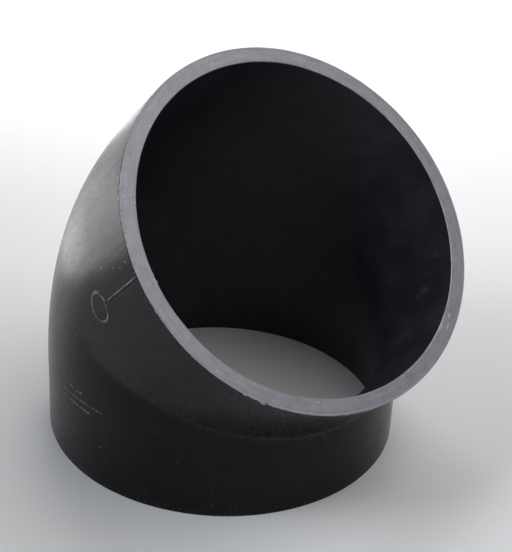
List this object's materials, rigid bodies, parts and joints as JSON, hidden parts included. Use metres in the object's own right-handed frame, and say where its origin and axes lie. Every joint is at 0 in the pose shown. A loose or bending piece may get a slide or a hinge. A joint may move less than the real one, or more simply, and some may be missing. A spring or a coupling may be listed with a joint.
{
  "type": "pipe elbow",
  "caption": "Black moulded 45 degree plastic pipe elbow with plain spigot ends, a rounded heel and a creased throat.",
  "frame": {"origin": "centre of the lower spigot's end face", "axes": "+Z along the lower spigot's axis into the elbow, the upper spigot leans 45 degrees towards +X in the XZ plane"},
  "size_m": [0.1861, 0.1602, 0.1761],
  "materials": {
    "moulded_black": "satin"
  },
  "bodies": {
    "root": {"elbow_body": "moulded_black"}
  },
  "joints": []
}
